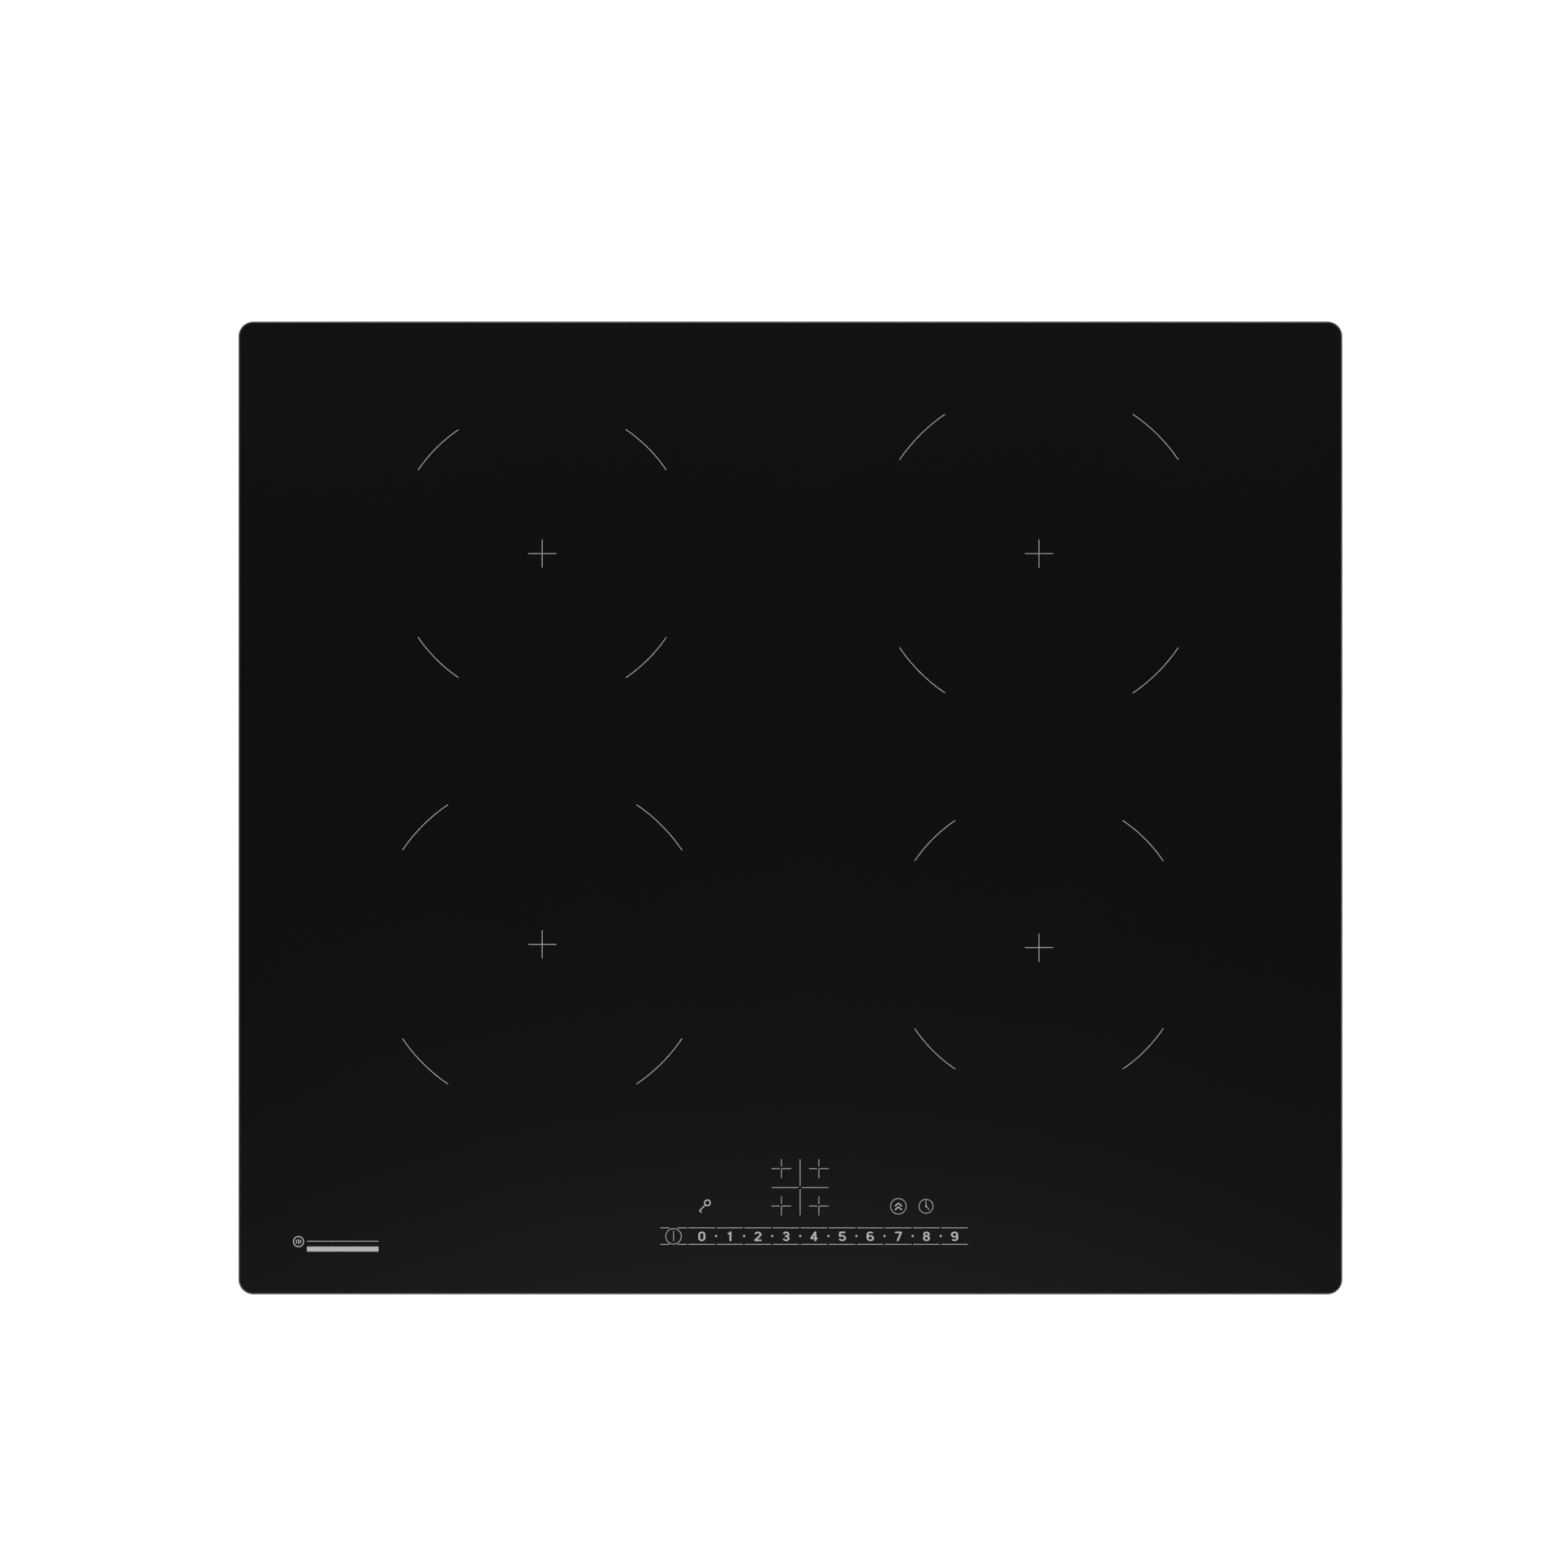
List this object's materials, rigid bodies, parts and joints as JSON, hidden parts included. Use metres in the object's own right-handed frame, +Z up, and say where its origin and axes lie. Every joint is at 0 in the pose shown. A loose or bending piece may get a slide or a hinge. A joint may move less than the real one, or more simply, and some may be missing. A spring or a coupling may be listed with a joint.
{
  "type": "electric induction cooktop",
  "caption": "Built-in electric induction cooktop: black glass plate with printed zones and touch slider, on a steel housing with coils, blowers and worktop clamps.",
  "frame": {"origin": "centre of the worktop seating plane, which is the underside of the edge seal", "axes": "+Z up through the glass, +X to the user's right, +Y towards the rear; the touch controls are at the front, -Y"},
  "size_m": [0.59, 0.52, 0.058],
  "materials": {
    "glass_black": "polished black glass ceramic with a finely ground edge",
    "printed_enamel": "fired screen-printed enamel on the glass, satin",
    "seal_foam": "closed-cell foam, matt",
    "silicone_bead": "cured silicone adhesive",
    "galvanised_steel": "zinc-coated sheet steel with a faint spangle",
    "zinc_fastener": "bright zinc plate",
    "zinc_plate": "zinc-plated pressed steel",
    "tray_aluminium": "mill-finish sheet",
    "sink_aluminium": "extruded, natural",
    "natural_plastic": "glass-filled moulding, natural colour",
    "black_plastic": "moulded, fine spark texture",
    "wheel_plastic": "moulded, satin",
    "copper_litz": "enamelled stranded copper",
    "ferrite_ceramic": "sintered ferrite, matt",
    "mica_board": "pressed mica, flecked",
    "sensor_silicone": "silicone cap",
    "spring_steel": "drawn spring wire",
    "circuit_board": "solder-masked laminate",
    "moulded_package": "epoxy package",
    "capacitor_film": "film capacitor case",
    "filter_parts": "choke winding and capacitor cases",
    "conductive_foam": "conductive foam",
    "display_case": "segment display case",
    "ribbon_grey": "flat cable jacket",
    "lead_insulation": "silicone-insulated lead"
  },
  "bodies": {
    "appliance": {"glass_plate": "glass_black", "edge_seal": "seal_foam", "adhesive_bead": "silicone_bead", "glass_frame": "galvanised_steel", "housing_pan": "galvanised_steel", "housing_screws": "zinc_fastener", "coil_tray": "tray_aluminium", "standoffs": "natural_plastic", "coil_springs": "spring_steel", "temp_sensors": "sensor_silicone", "insulation_discs": "mica_board", "lead_wires": "lead_insulation", "coil_winding_rear_left": "copper_litz", "coil_winding_rear_right": "copper_litz", "coil_winding_front_left": "copper_litz", "coil_winding_front_right": "copper_litz", "coil_former_rear_left": "natural_plastic", "coil_former_rear_right": "natural_plastic", "coil_former_front_left": "natural_plastic", "coil_former_front_right": "natural_plastic", "ferrite_bars_rear_left": "ferrite_ceramic", "ferrite_bars_rear_right": "ferrite_ceramic", "ferrite_bars_front_left": "ferrite_ceramic", "ferrite_bars_front_right": "ferrite_ceramic", "power_board_left": "circuit_board", "power_board_right": "circuit_board", "heat_sink_left": "sink_aluminium", "heat_sink_right": "sink_aluminium", "power_switches_left": "moulded_package", "power_switches_right": "moulded_package", "capacitors_left": "capacitor_film", "capacitors_right": "capacitor_film", "blower_housing_left": "black_plastic", "blower_housing_right": "black_plastic", "blower_cover_left": "black_plastic", "blower_cover_right": "black_plastic", "air_duct_left": "black_plastic", "air_duct_right": "black_plastic", "filter_board": "circuit_board", "filter_parts": "filter_parts", "control_holder": "black_plastic", "touch_board": "circuit_board", "touch_pads": "conductive_foam", "display_module": "display_case", "ribbon_cable": "ribbon_grey", "terminal_block": "black_plastic", "hinge_pin": "zinc_fastener", "cable_gland": "black_plastic", "clamp_bushes": "zinc_fastener"},
    "terminal_lid": {"terminal_lid": "black_plastic"},
    "blower_wheel_left": {"blower_wheel_left": "wheel_plastic"},
    "blower_wheel_right": {"blower_wheel_right": "wheel_plastic"},
    "clamp_screw_rear_left": {"clamp_screw_rear_left": "zinc_fastener"},
    "clamp_screw_rear_right": {"clamp_screw_rear_right": "zinc_fastener"},
    "clamp_screw_front_left": {"clamp_screw_front_left": "zinc_fastener"},
    "clamp_screw_front_right": {"clamp_screw_front_right": "zinc_fastener"},
    "clamp_arm_rear_left": {"clamp_arm_rear_left": "zinc_plate"},
    "clamp_arm_rear_right": {"clamp_arm_rear_right": "zinc_plate"},
    "clamp_arm_front_left": {"clamp_arm_front_left": "zinc_plate"},
    "clamp_arm_front_right": {"clamp_arm_front_right": "zinc_plate"}
  },
  "joints": [
    {"name": "blower_spin_left", "type": "hinge", "parent": "appliance", "child": "blower_wheel_left", "pos_m": [-0.078, 0.166, -0.035], "axis": [0, 0, 1], "continuous": true},
    {"name": "blower_spin_right", "type": "hinge", "parent": "appliance", "child": "blower_wheel_right", "pos_m": [0.11, 0.166, -0.035], "axis": [0, 0, 1], "continuous": true},
    {"name": "terminal_lid_hinge", "type": "hinge", "parent": "appliance", "child": "terminal_lid", "pos_m": [-0.226, 0.1936, -0.0498], "axis": [-1, 0, 0], "range_deg": [0, 90]},
    {"name": "clamp_lift_rear_left", "type": "slide", "parent": "appliance", "child": "clamp_screw_rear_left", "axis": [0, 0, 1], "range_m": [0, 0.017]},
    {"name": "clamp_swing_rear_left", "type": "hinge", "parent": "clamp_screw_rear_left", "child": "clamp_arm_rear_left", "pos_m": [-0.265, 0.14, -0.0483], "axis": [0, 0, -1], "range_deg": [0, 90]},
    {"name": "clamp_lift_rear_right", "type": "slide", "parent": "appliance", "child": "clamp_screw_rear_right", "axis": [0, 0, 1], "range_m": [0, 0.017]},
    {"name": "clamp_swing_rear_right", "type": "hinge", "parent": "clamp_screw_rear_right", "child": "clamp_arm_rear_right", "pos_m": [0.265, 0.14, -0.0483], "axis": [0, 0, 1], "range_deg": [0, 90]},
    {"name": "clamp_lift_front_left", "type": "slide", "parent": "appliance", "child": "clamp_screw_front_left", "axis": [0, 0, 1], "range_m": [0, 0.017]},
    {"name": "clamp_swing_front_left", "type": "hinge", "parent": "clamp_screw_front_left", "child": "clamp_arm_front_left", "pos_m": [-0.265, -0.14, -0.0483], "axis": [0, 0, 1], "range_deg": [0, 90]},
    {"name": "clamp_lift_front_right", "type": "slide", "parent": "appliance", "child": "clamp_screw_front_right", "axis": [0, 0, 1], "range_m": [0, 0.017]},
    {"name": "clamp_swing_front_right", "type": "hinge", "parent": "clamp_screw_front_right", "child": "clamp_arm_front_right", "pos_m": [0.265, -0.14, -0.0483], "axis": [0, 0, -1], "range_deg": [0, 90]}
  ]
}
